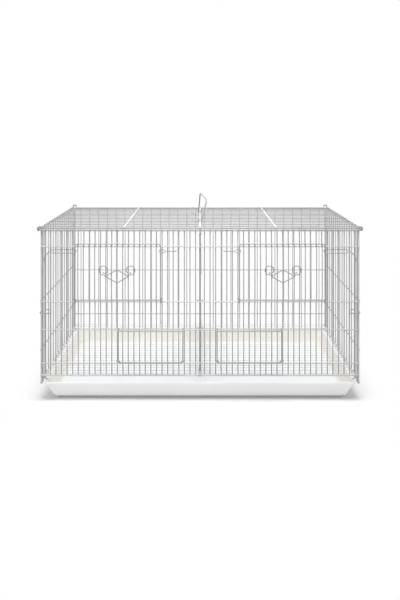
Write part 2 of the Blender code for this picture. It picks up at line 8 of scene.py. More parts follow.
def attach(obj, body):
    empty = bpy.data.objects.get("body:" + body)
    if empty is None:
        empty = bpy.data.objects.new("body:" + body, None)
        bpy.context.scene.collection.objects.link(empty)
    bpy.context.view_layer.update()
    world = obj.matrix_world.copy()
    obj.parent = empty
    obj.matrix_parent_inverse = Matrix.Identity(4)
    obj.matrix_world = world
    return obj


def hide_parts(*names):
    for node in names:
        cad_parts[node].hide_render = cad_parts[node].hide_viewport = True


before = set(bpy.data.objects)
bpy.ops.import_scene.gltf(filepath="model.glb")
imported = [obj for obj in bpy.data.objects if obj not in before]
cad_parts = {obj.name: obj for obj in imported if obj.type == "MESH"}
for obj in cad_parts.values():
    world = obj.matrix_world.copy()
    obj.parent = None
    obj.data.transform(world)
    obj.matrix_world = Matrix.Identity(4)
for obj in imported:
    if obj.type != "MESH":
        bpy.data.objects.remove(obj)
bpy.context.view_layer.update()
print("frame loaded:", len(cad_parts), "solids")

# Lengths in the dictionaries are in millimetres. +X is the cage's right, +Y its back, +Z up.
mm = 0.001
right = Vector((1, 0, 0))
back = Vector((0, 1, 0))
up = Vector((0, 0, 1))

cage = {
    "halfWidth": 379,  # to the axes of the corner posts
    "halfDepth": 203,
    "topZ": 410,
    "postFootZ": 44,
    "barPitch": 13.35,
    "firstBar": 10.6,
}

gauge = {  # the first five are radii of wires
    "post": 2.0,
    "bar": 1.3,
    "row": 1.4,
    "rail": 1.8,
    "fine": 1.2,
    "gap": 0.3,  # between two wires that only pass each other
    "fit": 0.8,  # between a piece that moves and the wire beside it
    "weld": 0.4,  # how deep two welded wires sink into each other
    "overrun": 2.2,  # how far a wire runs past the last one it is welded to
    "leastSpace": 1 / 3,  # of a pitch, left free between the last bar and a post
}

frontY = -cage["halfDepth"]
rowStep = gauge["bar"] + gauge["gap"] + gauge["row"]
railStep = gauge["bar"] + gauge["rail"] - gauge["weld"]
rowY = frontY - rowStep
railY = frontY - railStep
doorBarY = rowY - gauge["row"] - gauge["gap"] - gauge["bar"]
doorFrameY = doorBarY - gauge["bar"] - gauge["row"] + gauge["weld"]
sideEndY = cage["halfDepth"] - 2 * gauge["post"] - gauge["gap"]
eyeRadius = gauge["row"] + gauge["gap"] + gauge["fine"]
widePitch = 2 * cage["barPitch"]

# The two shader groups give a colour, a height and a roughness.
toneInputs = {
    "Position": "NodeSocketVector",
    "Shade": "NodeSocketColor",
    "Drift Shade": "NodeSocketColor",
    "Speck Shade": "NodeSocketColor",
    "Drift Scale": "NodeSocketFloat",
    "Speck Scale": "NodeSocketFloat",
    "Speck Limit": "NodeSocketFloat",
}
grainInputs = {
    "Position": "NodeSocketVector",
    "Grain Scale": "NodeSocketFloat",
    "Wave Scale": "NodeSocketFloat",
    "Smoothest": "NodeSocketFloat",
    "Roughest": "NodeSocketFloat",
}
skin = {
    "driftDetail": 3,
    "driftRange": (0.35, 0.65),  # the noise values between which one shade goes over into the other
    "speckDetail": 1,
    "speckEdge": 0.05,
    "reliefDetail": 2,
    "grainShare": 0.4,  # how high the fine grain stands beside the waves
    "waveRange": (0.3, 0.7),
}


def newGroup(name, inputs, outputs):
    group = bpy.data.node_groups.new(name, "ShaderNodeTree")
    for label, kind in inputs.items():
        group.interface.new_socket(name=label, in_out="INPUT", socket_type=kind)
    for label, kind in outputs.items():
        group.interface.new_socket(name=label, in_out="OUTPUT", socket_type=kind)
    return group, group.nodes.new("NodeGroupInput"), group.nodes.new("NodeGroupOutput")


def feed(tree, socket, value):
    if isinstance(value, bpy.types.NodeSocket):
        tree.links.new(value, socket)
    else:
        socket.default_value = value


def addNoise(tree, vector, scale, detail):
    noise = tree.nodes.new("ShaderNodeTexNoise")
    for label, value in (("Vector", vector), ("Scale", scale), ("Detail", detail)):
        feed(tree, noise.inputs[label], value)
    return noise.outputs["Fac"]


def addRange(tree, value, fromLow, fromHigh, toLow=0.0, toHigh=1.0):
    node = tree.nodes.new("ShaderNodeMapRange")
    ends = {"From Min": fromLow, "From Max": fromHigh, "To Min": toLow, "To Max": toHigh}
    for label, amount in ends.items():
        feed(tree, node.inputs[label], amount)
    tree.links.new(value, node.inputs["Value"])
    return node.outputs["Result"]


def addMath(tree, operation, first, second=0.0):
    node = tree.nodes.new("ShaderNodeMath")
    node.operation = operation
    for socket, amount in zip(node.inputs, (first, second)):
        feed(tree, socket, amount)
    return node.outputs["Value"]


def addMix(tree, factor, first, second):
    node = tree.nodes.new("ShaderNodeMix")
    node.data_type = "RGBA"
    # sockets 6 and 7 are the node's two colours, and output 2 is the mixed one
    for index, value in ((0, factor), (6, first), (7, second)):
        tree.links.new(value, node.inputs[index])
    return node.outputs[2]


def toneGroup():
    # broad drift between two close shades, with a few small specks
    group, start, end = newGroup("coatTone", toneInputs, {"Colour": "NodeSocketColor"})
    given = start.outputs
    drift = addNoise(group, given["Position"], given["Drift Scale"], skin["driftDetail"])
    speck = addNoise(group, given["Position"], given["Speck Scale"], skin["speckDetail"])
    driftMask = addRange(group, drift, *skin["driftRange"])
    drifted = addMix(group, driftMask, given["Shade"], given["Drift Shade"])
    limit = given["Speck Limit"]
    speckMask = addRange(group, speck, limit, addMath(group, "ADD", limit, skin["speckEdge"]))
    colour = addMix(group, speckMask, drifted, given["Speck Shade"])
    group.links.new(colour, end.inputs["Colour"])
    return group


def grainGroup():
    # the fine relief of a sprayed or moulded skin, and how its shine varies
    outputs = {"Height": "NodeSocketFloat", "Roughness": "NodeSocketFloat"}
    group, start, end = newGroup("coatGrain", grainInputs, outputs)
    given = start.outputs
    grain = addNoise(group, given["Position"], given["Grain Scale"], skin["reliefDetail"])
    wave = addNoise(group, given["Position"], given["Wave Scale"], skin["reliefDetail"])
    height = addMath(group, "ADD", addMath(group, "MULTIPLY", grain, skin["grainShare"]), wave)
    shine = addRange(group, wave, *skin["waveRange"], given["Smoothest"], given["Roughest"])
    group.links.new(height, end.inputs["Height"])
    group.links.new(shine, end.inputs["Roughness"])
    return group


def dressedMaterial(name, look, tone, grain):
    material = bpy.data.materials.new(name)
    material.use_nodes = True
    tree = material.node_tree
    shader = tree.nodes["Principled BSDF"]
    position = tree.nodes.new("ShaderNodeTexCoord").outputs["Object"]
    toneNode = tree.nodes.new("ShaderNodeGroup")
    toneNode.node_tree = tone
    grainNode = tree.nodes.new("ShaderNodeGroup")
    grainNode.node_tree = grain
    for node in (toneNode, grainNode):
        tree.links.new(position, node.inputs["Position"])
        for label, value in look.items():
            if label in node.inputs:
                node.inputs[label].default_value = value
    bump = tree.nodes.new("ShaderNodeBump")
    bump.inputs["Strength"].default_value = look["bumpStrength"]
    bump.inputs["Distance"].default_value = look["bumpDepth"] * mm
    tree.links.new(grainNode.outputs["Height"], bump.inputs["Height"])
    tree.links.new(toneNode.outputs["Colour"], shader.inputs["Base Color"])
    tree.links.new(grainNode.outputs["Roughness"], shader.inputs["Roughness"])
    tree.links.new(bump.outputs["Normal"], shader.inputs["Normal"])
    shader.inputs["IOR"].default_value = look["ior"]
    shader.inputs["Coat Weight"].default_value = look["coat"]
    shader.inputs["Coat Roughness"].default_value = look["coatRoughness"]
    return material


# The wires' white coat is given as a light grey, which is painted shade over the whole wire. The
# copies below are lighter and darker ones of the same coat, for painted light and painted shade.
powderCoat = {
    "Shade": (0.42, 0.42, 0.423, 1),
    "Drift Shade": (0.39, 0.39, 0.392, 1),
    "Speck Shade": (0.34, 0.34, 0.34, 1),
    "Drift Scale": 14.0,
    "Speck Scale": 520.0,
    "Speck Limit": 0.74,
    "Grain Scale": 900.0,
    "Wave Scale": 260.0,
    "Smoothest": 0.30,
    "Roughest": 0.44,
    "bumpStrength": 0.35,
    "bumpDepth": 0.06,
    "ior": 1.5,
    "coat": 0.25,
    "coatRoughness": 0.2,
}

paintedLitCoat = powderCoat | {  # a lighter copy of the same coat, painted light: most cross wires and rails, the posts and the back's uprights
    "Shade": (0.51, 0.51, 0.512, 1),
    "Drift Shade": (0.48, 0.48, 0.482, 1),
    "Speck Shade": (0.42, 0.42, 0.42, 1),
}

paintedBrightLitCoat = powderCoat | {  # a much lighter copy of the same coat, painted light: the wires that stiffen the top, and the grate
    "Shade": (0.74, 0.74, 0.742, 1),
    "Drift Shade": (0.71, 0.71, 0.712, 1),
    "Speck Shade": (0.64, 0.64, 0.64, 1),
}

paintedShadeCoat = powderCoat | {  # a darker copy of the same coat, painted shade: the bent parts and the bars of the top
    "Shade": (0.31, 0.31, 0.312, 1),
    "Drift Shade": (0.28, 0.28, 0.281, 1),
    "Speck Shade": (0.24, 0.24, 0.24, 1),
}

trayPlastic = {
    "Shade": (0.89, 0.89, 0.892, 1),
    "Drift Shade": (0.885, 0.885, 0.88, 1),
    "Speck Shade": (0.868, 0.866, 0.86, 1),
    "Drift Scale": 5.0,
    "Speck Scale": 950.0,
    "Speck Limit": 0.78,
    "Grain Scale": 1100.0,
    "Wave Scale": 35.0,
    "Smoothest": 0.30,
    "Roughest": 0.37,
    "bumpStrength": 0.1,
    "bumpDepth": 0.08,
    "ior": 1.5,
    "coat": 0.0,
    "coatRoughness": 0.1,
}

paintedShadeFloorPlastic = trayPlastic | {  # inside, the floor is a cooler, darker white: painted shade
    "Shade": (0.795, 0.81, 0.83, 1),
    "Drift Shade": (0.79, 0.80, 0.815, 1),
    "Speck Shade": (0.775, 0.785, 0.795, 1),
}

paintedShadeSidePlastic = trayPlastic | {  # and the side and rear walls a warmer, darker white: painted shade
    "Shade": (0.80, 0.78, 0.725, 1),
    "Drift Shade": (0.79, 0.765, 0.71, 1),
    "Speck Shade": (0.77, 0.75, 0.70, 1),
}

tone = toneGroup()
grain = grainGroup()
coats = {
    "plainCoat": powderCoat,
    "paintedLitCoat": paintedLitCoat,
    "paintedBrightLitCoat": paintedBrightLitCoat,
    "paintedShadeCoat": paintedShadeCoat,
}
wireMaterials = [dressedMaterial(name, look, tone, grain) for name, look in coats.items()]
trayLooks = {
    "whiteTrayPlastic": trayPlastic,
    "paintedCoolShadeFloor": paintedShadeFloorPlastic,
    "paintedWarmShadeSides": paintedShadeSidePlastic,
}
trayMaterials = [dressedMaterial(name, look, tone, grain) for name, look in trayLooks.items()]
print("materials made")

# Wires are drawn as round curves and then made into one mesh for each piece.
wire = {
    "sides": 10,
    "leastTurn": 0.2,  # in radians; a flatter corner isn't rounded
    "turnPerStep": 0.25,
    "mostCut": 0.45,  # of the shorter straight beside a corner
    "endShape": ((0.6, 1.0), (0.2, 0.88), (0.0, 0.55)),  # radii from the tip, share of the radius
    "sameSpot": 0.001,
}
bead = {
    "radius": 1.75,
    "reach": 0.85,
    "shape": ((-1, 0.3), (-0.6, 0.8), (0, 1), (0.6, 0.8), (1, 0.3)),  # along it, how thick
}


def newWork():
    work = bpy.data.curves.new("wireWork", "CURVE")
    work.dimensions = "3D"
    work.bevel_depth = mm
    work.bevel_resolution = (wire["sides"] - 4) // 2
    work.use_fill_caps = True
    for material in wireMaterials:
        work.materials.append(material)
    return work


def easeCorners(points, bend, closed):
    eased = []
    for i, corner in enumerate(points):
        isEnd = not closed and i in (0, len(points) - 1)
        before = points[i - 1] - corner
        after = points[(i + 1) % len(points)] - corner
        turn = 0 if isEnd else math.pi - before.angle(after)
        if turn < wire["leastTurn"]:
            eased.append(corner)
            continue
        cut = min(bend, wire["mostCut"] * before.length, wire["mostCut"] * after.length)
        start = corner + cut * before.normalized()
        end = corner + cut * after.normalized()
        steps = max(2, round(turn / wire["turnPerStep"]))
        for k in range(steps + 1):
            t = k / steps
            eased.append((1 - t) ** 2 * start + 2 * t * (1 - t) * corner + t * t * end)
    return eased


def roundEnd(path, radius):
    # the cut end of a coated wire: each place with how thin the wire is there, the tip last
    tip = path[-1]
    inward = (path[-2] - tip).normalized()
    return [(tip + inward * radius * away, share) for away, share in wire["endShape"]]


def addWire(work, points, radius, bend=3.0, closed=False, coat=None):
    path = easeCorners([Vector(p) for p in points], bend, closed)
    rings = [(p, 1.0) for p in path]
    if not closed:
        head = roundEnd(path[::-1], radius)[::-1]
        rings = head + rings[1:-1] + roundEnd(path, radius)
    spline = work.splines.new("POLY")
    spline.points.add(len(rings) - 1)
    for point, (place, share) in zip(spline.points, rings):
        point.co = (*(place * mm), 1)
        point.radius = radius * share
    spline.use_cyclic_u = closed
    # wires thicker than a bar get the lighter copy of the coat, painted light
    coat = coat or ("paintedLitCoat" if radius > gauge["bar"] else "plainCoat")
    spline.material_index = list(coats).index(coat)


def addWeld(work, place, through):
    # a bead of coat where two wires lie on each other along the axis named in through
    axis = {"x": right, "y": back, "z": up}[through]
    spline = work.splines.new("POLY")
    spline.points.add(len(bead["shape"]) - 1)
    for point, (along, share) in zip(spline.points, bead["shape"]):
        point.co = (*((Vector(place) + along * bead["reach"] * axis) * mm), 1)
        point.radius = bead["radius"] * share


def wireMesh(work):
    holder = bpy.data.objects.new("wireHolder", work)
    bpy.context.scene.collection.objects.link(holder)
    graph = bpy.context.evaluated_depsgraph_get()
    mesh = bpy.data.meshes.new_from_object(holder.evaluated_get(graph))
    bpy.data.objects.remove(holder, do_unlink=True)
    bm = bmesh.new()
    bm.from_mesh(mesh)
    bmesh.ops.remove_doubles(bm, verts=bm.verts, dist=wire["sameSpot"] * mm)
    bmesh.ops.recalc_face_normals(bm, faces=bm.faces)
    bpy.data.meshes.remove(mesh)
    return bm


def addPiece(name, bm, materials, body, node, smoothAngle=50):
    mesh = bpy.data.meshes.new(name)
    bm.to_mesh(mesh)
    bm.free()
    mesh.shade_smooth()
    mesh.set_sharp_from_angle(angle=math.radians(smoothAngle))
    for material in materials:
        mesh.materials.append(material)
    piece = bpy.data.objects.new(name, mesh)
    bpy.context.scene.collection.objects.link(piece)
    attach(piece, body)
    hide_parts(node)
    return piece


def addWirePiece(name, work, body, node):
    return addPiece(name, wireMesh(work), wireMaterials, body, node)


def barX(index):
    return cage["firstBar"] + cage["barPitch"] * index


def placesAlong(halfLength, start, pitch):
    places = []
    place = start
    while place < halfLength - pitch * gauge["leastSpace"]:
        places += [place] if place == 0 else [-place, place]
        place += pitch
    return sorted(places)


def arc(centre, radius, start, end, first, second, step=12):
    # start, end and step in degrees, from the direction first toward second
    count = max(3, round(abs(end - start) / step))
    points = []
    for i in range(count + 1):
        angle = math.radians(start + (end - start) * i / count)
        out = math.cos(angle) * first + math.sin(angle) * second
        points.append(Vector(centre) + radius * out)
    return points


def mirrored(points, hand):
    return [Vector((hand * p[0], p[1], p[2])) for p in points]


front = {
    "doorHeadZ": 371.5,
    "doorSillZ": 240,
    "feederHeadZ": 173.4,
    "feederSillZ": 93.3,
    "footZ": 65,
    "doorBars": (6, 22),  # the bars on both sides of an upper doorway, counted from the middle
    "feederBars": (2, 14),
    "shortForward": 0.7,  # how far the short bars between a flap and a door stand forward
    "guideDepth": 14,  # how far the divider's guides bend back
    "guideBend": 1.6,
}


def frontBarSpans(index):
    atDoor = front["doorBars"][0] < index < front["doorBars"][1]
    atFeeder = front["feederBars"][0] < index < front["feederBars"][1]
    overrun = gauge["overrun"]
    foot = front["footZ"] - overrun
    head = cage["topZ"] + overrun
    flapHead = front["feederHeadZ"] - overrun
    doorSill = front["doorSillZ"] + overrun
    spans = []
    if atDoor:
        spans.append((front["doorHeadZ"] - overrun, head, 0))
    if atFeeder:
        spans.append((foot, front["feederSillZ"] + overrun, 0))
    if atDoor and atFeeder:
        spans.append((flapHead, doorSill, front["shortForward"]))
    elif atDoor:
        spans.append((foot, doorSill, 0))
    elif atFeeder:
        spans.append((flapHead, head, 0))
    else:
        spans.append((foot, head, 0))
    return spans


def guideRow(work, z):
    inner = gauge["rail"] + gauge["gap"] + gauge["row"]
    outer = cage["firstBar"] - gauge["bar"] - gauge["gap"] - gauge["row"]
    depthY = rowY + front["guideDepth"]
    end = cage["halfWidth"] + gauge["post"]
    half = [(inner, rowY), (inner, depthY), (outer, depthY), (outer, rowY), (end, rowY)]
    points = [(-x, y, z) for x, y in reversed(half)] + [(x, y, z) for x, y in half]
    addWire(work, points, gauge["row"], bend=front["guideBend"])


def makeFrontPanel():
    work = newWork()
    end = cage["halfWidth"] + gauge["post"]
    footY = railY + gauge["rail"] - gauge["row"]
    rows = [
        (cage["topZ"], railY, gauge["rail"], "paintedShadeCoat"),
        (front["doorHeadZ"], rowY, gauge["row"], "paintedLitCoat"),
        (front["feederSillZ"], rowY, gauge["row"], "paintedLitCoat"),
        (front["footZ"], footY, gauge["row"], "paintedLitCoat"),
    ]
    for z, y, radius, coat in rows:
        addWire(work, [(-end, y, z), (end, y, z)], radius, coat=coat)
    guideRow(work, front["doorSillZ"])
    guideRow(work, front["feederHeadZ"])
    crossings = [row[0] for row in rows] + [front["doorSillZ"], front["feederHeadZ"]]
    lastX = cage["halfWidth"] - cage["barPitch"] * gauge["leastSpace"]
    barCount = int((lastX - cage["firstBar"]) / cage["barPitch"]) + 1
    postTop = cage["topZ"] + gauge["overrun"]
    for hand in (-1, 1):
        postX = hand * cage["halfWidth"]
        post = [(postX, frontY, cage["postFootZ"]), (postX, frontY, postTop)]
        addWire(work, post, gauge["post"])
        for z in crossings:
            addWeld(work, (postX, frontY - gauge["post"], z), "y")
        for index in range(barCount):
            x = hand * barX(index)
            for low, high, forward in frontBarSpans(index):
                y = frontY - forward
                addWire(work, [(x, y, low), (x, y, high)], gauge["bar"])
                for z in crossings:
                    if low < z < high:
                        addWeld(work, (x, y - gauge["bar"], z), "y")
    return addWirePiece("frontPanel", work, "cage", "front_panel")


makeFrontPanel()
print("front panel made")

walls = {
    "backRowsZ": (224, 91),
    "sideRowsZ": (240, 123),
    "ledgeZ": 57,  # the wire inside each side that the floor grate slides on
    "topWeldDrop": 0.5,
    "hookInset": 14,  # the hooks hold the tray's rim
    "hookTipX": 367.2,
    "hookTopX": 370.8,
    "hookZ": 48.5,
    "hookElbow": 1.6,
    "hookBend": 1.5,
}


def makeBackPanel():
    work = newWork()
    end = cage["halfWidth"] + gauge["post"]
    railBackY = cage["halfDepth"] + railStep
    rowBackY = cage["halfDepth"] + rowStep
    railsZ = (cage["topZ"], cage["postFootZ"])
    for z in railsZ:
        rail = [(-end, railBackY, z), (end, railBackY, z)]
        addWire(work, rail, gauge["rail"], coat="plainCoat")
    for z in walls["backRowsZ"]:
        addWire(work, [(-end, rowBackY, z), (end, rowBackY, z)], gauge["row"])
    barsX = placesAlong(cage["halfWidth"], widePitch / 2, widePitch)
    uprights = [(x, gauge["bar"]) for x in barsX]
    uprights += [(hand * cage["halfWidth"], gauge["post"]) for hand in (-1, 1)]
    low = cage["postFootZ"] - gauge["overrun"]
    high = cage["topZ"] + gauge["overrun"]
    for x, radius in uprights:
        upright = [(x, cage["halfDepth"], low), (x, cage["halfDepth"], high)]
        addWire(work, upright, radius, coat="paintedLitCoat")
        for z in railsZ + walls["backRowsZ"]:
            addWeld(work, (x, cage["halfDepth"] + radius, z), "y")
    return addWirePiece("backPanel", work, "cage", "back_panel")


def makeSidePanel(side, hand):
    work = newWork()
    end = sideEndY + gauge["post"]
    x = cage["halfWidth"]
    rows = [(x + railStep, z, gauge["rail"]) for z in (cage["topZ"], cage["postFootZ"])]
    rows += [(x + rowStep, z, gauge["row"]) for z in walls["sideRowsZ"]]
    for rowX, z, radius in rows:
        addWire(work, mirrored([(rowX, -end, z), (rowX, end, z)], hand), radius)
    ledgeX = x - rowStep
    ledgeEnd = sideEndY + gauge["post"] / 2
    ledge = [(ledgeX, -ledgeEnd, walls["ledgeZ"]), (ledgeX, ledgeEnd, walls["ledgeZ"])]
    addWire(work, mirrored(ledge, hand), gauge["row"])
    low = cage["postFootZ"] - gauge["overrun"]
    high = cage["topZ"] + gauge["rail"] / 2
    uprights = [(y, gauge["bar"]) for y in placesAlong(sideEndY - gauge["post"], 0, widePitch)]
    uprights += [(way * sideEndY, gauge["post"]) for way in (-1, 1)]
    weldsZ = (cage["topZ"] - walls["topWeldDrop"], cage["postFootZ"]) + walls["sideRowsZ"]
    for y, radius in uprights:
        addWire(work, mirrored([(x, y, low), (x, y, high)], hand), radius)
        for z in weldsZ:
            addWeld(work, (hand * (x + radius), y, z), "x")
        addWeld(work, (hand * (x - radius), y, walls["ledgeZ"]), "x")
    elbowZ = walls["hookZ"] + walls["hookElbow"]
    for y in (-sideEndY + walls["hookInset"], sideEndY - walls["hookInset"]):
        hook = [(ledgeX, y, walls["ledgeZ"]), (ledgeX, y, elbowZ)]
        hook += [(walls["hookTopX"], y, walls["hookZ"]), (walls["hookTipX"], y, walls["hookZ"])]
        addWire(work, mirrored(hook, hand), gauge["fine"], bend=walls["hookBend"])
    return addWirePiece(side + "Panel", work, "cage", side + "_panel")


hingeRod = {
    "turn": 3.6,  # where the rod's end turns up into its curl
    "curl": 4.5,
    "curlRise": 6.5,
    "curlHalfHeight": 3.5,
    "curlTurn": 200,
    "bend": 2.5,
}
rodX = cage["halfWidth"] + railStep + 2 * gauge["rail"] + gauge["gap"]


def makeHingeRod(side, hand):
    work = newWork()
    end = cage["halfDepth"] + railStep + gauge["rail"] + gauge["gap"]
    turn = hingeRod["turn"]
    curl = hingeRod["curl"]
    half = [Vector((rodX, -end, cage["topZ"])), Vector((rodX, -end - turn, cage["topZ"] + turn))]
    for p in arc((rodX - curl, 0, 0), curl, 0, hingeRod["curlTurn"], right, up):
        rise = hingeRod["curlRise"] + p.z * hingeRod["curlHalfHeight"] / curl
        half.append(Vector((p.x, -end - turn, cage["topZ"] + rise)))
    other = [Vector((p.x, -p.y, p.z)) for p in half]
    points = mirrored(half[::-1] + other, hand)
    addWire(work, points, gauge["rail"], bend=hingeRod["bend"], coat="paintedShadeCoat")
    return addWirePiece(side + "HingeRod", work, "cage", side + "_hinge_rod")


topFace = {
    "longWiresX": (-182, 0, 182),
    "barTurn": 4.5,  # how far the ends of the bars turn down over the hinge rods
    "barBend": 2.0,
}
topBarZ = cage["topZ"] + gauge["rail"] + gauge["gap"] + gauge["bar"]
longWireZ = topBarZ + gauge["bar"] + gauge["rail"] - gauge["weld"]


def makeTopPanel():
    work = newWork()
    endX = rodX + gauge["rail"] + gauge["gap"] + gauge["bar"]
    edgeY = cage["halfDepth"] - gauge["post"] - gauge["bar"] - gauge["gap"]
    low = topBarZ - topFace["barTurn"]
    for y in placesAlong(edgeY, 0, widePitch) + [-edgeY, edgeY]:
        points = [(-endX, y, low), (-endX, y, topBarZ), (endX, y, topBarZ), (endX, y, low)]
        addWire(work, points, gauge["bar"], bend=topFace["barBend"], coat="paintedShadeCoat")
        for x in topFace["longWiresX"]:
            addWeld(work, (x, y, topBarZ + gauge["bar"]), "z")
    end = edgeY + gauge["overrun"]
    for x in topFace["longWiresX"]:
        points = [(x, -end, longWireZ), (x, end, longWireZ)]
        addWire(work, points, gauge["rail"], coat="paintedBrightLitCoat")
    return addWirePiece("topPanel", work, "cage", "top_panel")


makeBackPanel()
makeTopPanel()
for side, hand in (("left", -1), ("right", 1)):
    makeSidePanel(side, hand)
    makeHingeRod(side, hand)
print("back, sides and top made")

divider = {
    "footZ": 76,
    "topDrop": 7,
    "hookLift": 9,
    "hookRoot": 5.6,  # how much of a hook lies along the wire that it is welded to
    "hookBend": 1.5,
}


def wallHook(work, x, edgeY, toward, z, held):
    # a hook over a wire of the cage, whose y, z and radius are in held
    heldY, heldZ, radius = held
    fine = gauge["fine"]
    clear = radius + gauge["gap"] + fine
    over = heldZ + clear
    outY = heldY + toward * clear
    points = [(x, edgeY - toward * divider["hookRoot"], z), (x, edgeY + toward * fine, z)]
    points += [(x, heldY, over), (x, outY, over - fine), (x, outY, heldZ - radius)]
    addWire(work, points, fine, bend=divider["hookBend"])


def makeDivider():
    work = newWork()
    nearY = railY + 2 * gauge["rail"] + gauge["gap"]
    farY = cage["halfDepth"] - gauge["bar"] - gauge["gap"] - gauge["rail"]
    topZ = cage["topZ"] - divider["topDrop"]
    sideX = gauge["bar"] + gauge["row"] - gauge["weld"]
    frameRows = (topZ - gauge["overrun"], divider["footZ"])
    middleRows = (
        (front["doorSillZ"] + front["doorHeadZ"]) / 2,
        (front["feederSillZ"] + front["feederHeadZ"]) / 2,
    )
    for z in frameRows:
        addWire(work, [(sideX, nearY, z), (sideX, farY, z)], gauge["row"])
    for z in middleRows:
        points = [(rowStep, nearY - gauge["post"], z), (rowStep, farY + gauge["post"], z)]
        addWire(work, points, gauge["row"])
    spaces = round((farY - nearY) / widePitch)
    radii = [gauge["post"]] + [gauge["bar"]] * (spaces - 1) + [gauge["rail"]]
    for i, radius in enumerate(radii):
        y = nearY + (farY - nearY) * i / spaces
        upright = [(0, y, divider["footZ"] - gauge["overrun"]), (0, y, topZ)]
        addWire(work, upright, radius, coat="paintedShadeCoat" if i == 0 else "plainCoat")
        for z in frameRows + middleRows:
            addWeld(work, (radius, y, z), "x")
    for x in (-sideX, sideX):
        heldFront = (railY, front["footZ"], gauge["rail"])
        wallHook(work, x, nearY, -1, divider["footZ"], heldFront)
    backRow = walls["backRowsZ"][1]
    heldBack = (cage["halfDepth"] + rowStep, backRow, gauge["row"])
    wallHook(work, sideX, farY, 1, backRow + divider["hookLift"], heldBack)
    return addWirePiece("dividerPanel", work, "cage", "divider_panel")


makeDivider()
print("divider made")

upperDoor = {
    "hatRise": 7.2,  # how far the frame stands above the doorway's head wire
    "railRise": 4.6,
    "outerInset": cage["barPitch"] / 2,
    "corner": 3,  # the frame's cut corners, in radii of a cross wire
    "frameBend": 2.6,
    "tip": (5, 5.5),  # how far the ends of the sill rail turn out and up
    "tipRoot": 1,
}
hingeEye = {"stem": 3, "turn": 240, "step": 15}  # stem in radii of the eye, the others in degrees
doorInnerX = barX(front["doorBars"][0]) + gauge["bar"] + gauge["fit"] + gauge["fine"]
doorOuterX = barX(front["doorBars"][1]) - upperDoor["outerInset"]


def hingeHook(x, rowZ, turn):
    # the end of a frame bent round a cross wire, from above with turn 1 and from below with -1
    stem = (hingeEye["stem"], 1)
    points = [Vector((x, doorFrameY, rowZ + turn * reach * eyeRadius)) for reach in stem]
    end = 180 + turn * hingeEye["turn"]
    return points + arc((x, rowY, rowZ), eyeRadius, 180, end, back, up, step=hingeEye["step"])


def makeUpperDoor(side, hand):
    work = newWork()
    hatZ = front["doorHeadZ"] + upperDoor["hatRise"]
    railZ = front["doorSillZ"] + railStep + upperDoor["railRise"] - gauge["rail"]
    corner = upperDoor["corner"] * gauge["row"]
    points = hingeHook(doorInnerX, front["doorSillZ"], 1)[::-1]
    points += [(doorInnerX, doorFrameY, hatZ - corner), (doorInnerX + corner, doorFrameY, hatZ)]
    points += [(doorOuterX - corner, doorFrameY, hatZ), (doorOuterX, doorFrameY, hatZ - corner)]
    points += hingeHook(doorOuterX, front["doorSillZ"], 1)
    frameWire = mirrored(points, hand)
    addWire(work, frameWire, gauge["fine"], bend=upperDoor["frameBend"], coat="paintedShadeCoat")
    tip, lift = upperDoor["tip"]
    root = upperDoor["tipRoot"]
    rail = [(doorInnerX - tip, doorFrameY, railZ + lift), (doorInnerX + root, doorFrameY, railZ)]
    rail += [(doorOuterX - root, doorFrameY, railZ), (doorOuterX + tip, doorFrameY, railZ + lift)]
    addWire(work, mirrored(rail, hand), gauge["row"], coat="paintedShadeCoat")
    low, high = railZ - gauge["overrun"], hatZ + gauge["overrun"]
    for index in range(front["doorBars"][0] + 1, front["doorBars"][1]):
        x = hand * barX(index)
        addWire(work, [(x, doorBarY, low), (x, doorBarY, high)], gauge["bar"])
        for z in (railZ, hatZ):
            addWeld(work, (x, doorBarY - gauge["bar"], z), "y")
    for x in (doorInnerX, doorOuterX):
        addWeld(work, (hand * x, doorFrameY, railZ), "y")
    return addWirePiece(side + "UpperDoor", work, side + "_upper_door", side + "_upper_door")


ornament = {
    "halfWidth": 28,
    "halfHeight": 15.6,
    "rise": 62,  # of its middle over the doorway's sill
    "bend": 1.5,
    "scroll": 10.7,
    "scrollOut": 32,
    "scrollRise": 14,
    "scrollStart": -95,
    "scrollTurn": 390,
    "scrollTaper": 0.65,
    "scrollCurl": 6,  # the higher, the later the scroll tightens
    "scrollSteps": 40,
}


def makeOrnament(side, hand):
    work = newWork()
    halfWidth, halfHeight = ornament["halfWidth"], ornament["halfHeight"]
    fine = gauge["fine"]
    x = hand * (barX(front["doorBars"][0]) + barX(front["doorBars"][1])) / 2
    y = doorBarY - gauge["bar"] - gauge["gap"] - fine
    z = front["doorSillZ"] + ornament["rise"]
    corners = ((-1, 0), (0, 1), (1, 0), (0, -1))
    diamond = [(x + u * halfWidth, y, z + v * halfHeight) for u, v in corners]
    addWire(work, diamond, fine, bend=ornament["bend"], closed=True, coat="paintedShadeCoat")
    steps = ornament["scrollSteps"]
    for hook in (-1, 1):
        centre = Vector((x + hook * ornament["scrollOut"], y, z + ornament["scrollRise"]))
        points = [Vector((x + hook * (halfWidth - 2 * fine), y, z))]
        for i in range(steps + 1):
            angle = math.radians(ornament["scrollStart"] + ornament["scrollTurn"] * i / steps)
            shrink = ornament["scrollTaper"] * (i / steps) ** ornament["scrollCurl"]
            radius = ornament["scroll"] * (1 - shrink)
            out = hook * math.cos(angle) * right + math.sin(angle) * up
            points.append(centre + radius * out)
        addWire(work, points, fine, coat="paintedShadeCoat")
        addWeld(work, (x + hook * (halfWidth - fine), y, z), "y")
    for tipZ in (z - halfHeight, z + halfHeight):
        addWeld(work, (x, doorBarY - gauge["bar"], tipZ), "y")
    body = side + "_upper_door"
    return addWirePiece(side + "DoorOrnament", work, body, side + "_door_ornament")


feederDoor = {
    "drop": 3.8,
    "corner": 8,
    "bend": 2,
    "railDrop": 2,
    "railTip": 3,
    "pullTip": (4.5, 6),  # how far the ends of the pull wire turn out and up
}


